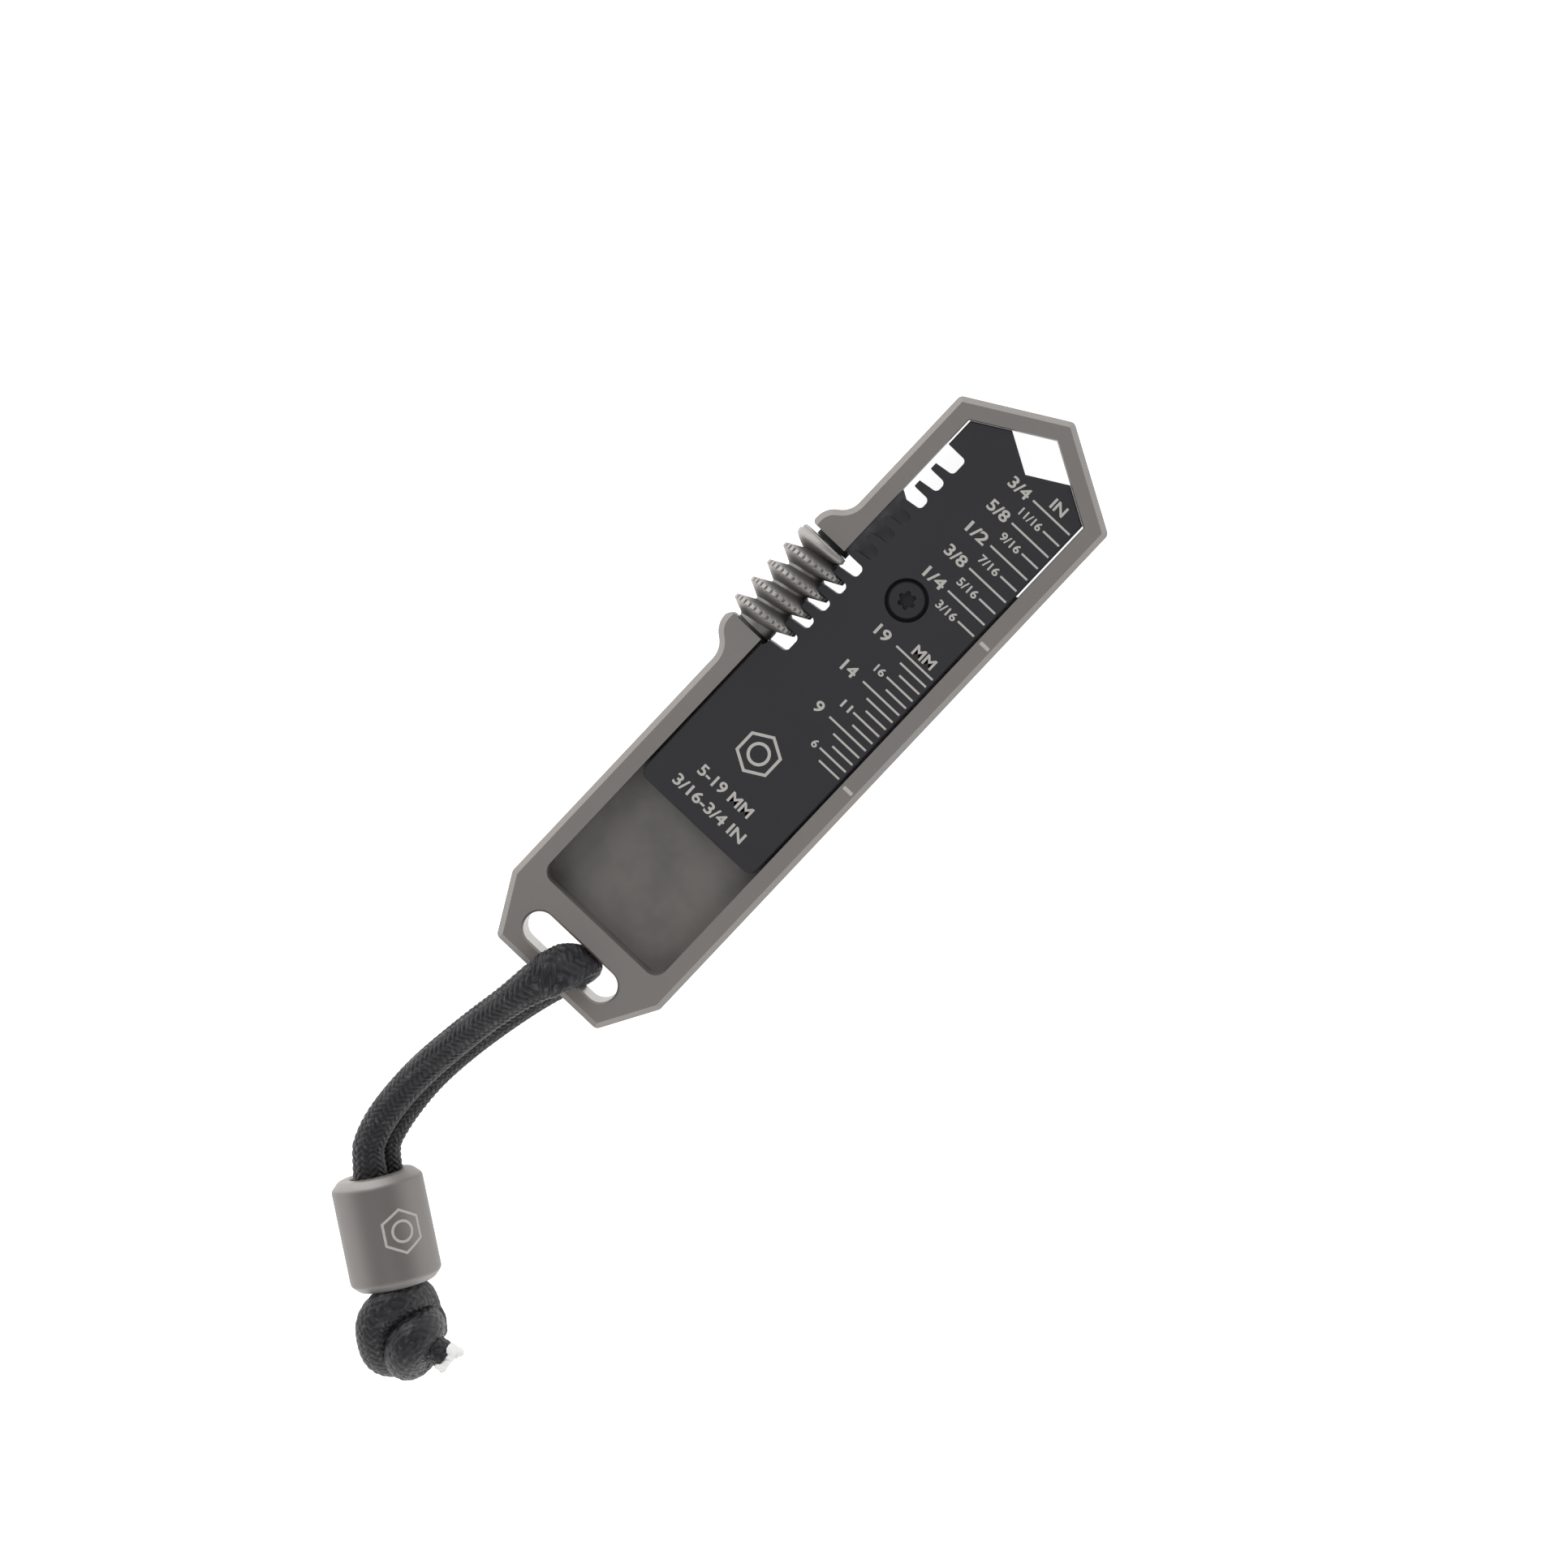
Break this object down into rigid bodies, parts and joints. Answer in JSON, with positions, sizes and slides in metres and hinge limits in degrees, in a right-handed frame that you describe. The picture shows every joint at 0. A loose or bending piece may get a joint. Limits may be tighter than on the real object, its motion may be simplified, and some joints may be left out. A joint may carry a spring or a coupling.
{
  "type": "pocket adjustable wrench",
  "caption": "Flat pocket adjustable wrench: a milled frame with half a hexagon at its head, a sliding jaw plate with a rack, a knurled worm, and a cord lanyard with a bead.",
  "frame": {"origin": "centre of the lanyard slot at half the frame's thickness", "axes": "+Y from the lanyard slot to the head along the frame, +Z out of the face with the scales, +X to the side away from the worm"},
  "size_m": [0.0387, 0.1405, 0.0169],
  "materials": {
    "blasted_titanium": "bead-blasted titanium, dull warm grey, milled edges a little brighter",
    "machined_titanium": "turned and knurled titanium, satin",
    "tumbled_titanium": "turned and tumbled titanium, satin",
    "black_coated_steel": "hardened steel with a matt near-black carbon coating, markings lasered in light grey",
    "black_oxide_steel": "black oxide, satin",
    "bare_steel": "ground stainless steel",
    "black_rubber": "matt nitrile rubber",
    "black_acetal": "turned black acetal",
    "braided_nylon": "braided black nylon sheath with a slight sheen",
    "white_nylon_strands": "twisted white nylon core strands, cut"
  },
  "bodies": {
    "frame": {"frame_body": "blasted_titanium", "axle_pin_lower": "bare_steel", "axle_pin_upper": "bare_steel", "axle_spring": "bare_steel", "friction_ring": "black_rubber", "thrust_washer": "black_acetal", "cord_front_leg": "braided_nylon", "cord_back_leg": "braided_nylon", "lanyard_knot": "braided_nylon", "cord_core_ends": "white_nylon_strands"},
    "slider": {"jaw_slider": "black_coated_steel", "slider_screw": "black_oxide_steel", "guide_nut": "bare_steel"},
    "worm": {"worm_screw": "machined_titanium"},
    "bead": {"lanyard_bead": "tumbled_titanium"}
  },
  "joints": [
    {"name": "slider_travel", "type": "slide", "parent": "frame", "child": "slider", "axis": [0, -1, 0], "range_m": [0, 0.01649]},
    {"name": "worm_spin", "type": "hinge", "parent": "frame", "child": "worm", "pos_m": [-0.011, 0.05, 0], "axis": [0, 1, 0], "range_deg": [0, 2122]},
    {"name": "bead_slide", "type": "slide", "parent": "frame", "child": "bead", "axis": [-0.8192, 0.5736, 0], "range_m": [0, 0.0025]}
  ],
  "couplings": [
    {"joint": "worm_spin", "follows": "slider_travel", "rad_per_m": 2244}
  ]
}
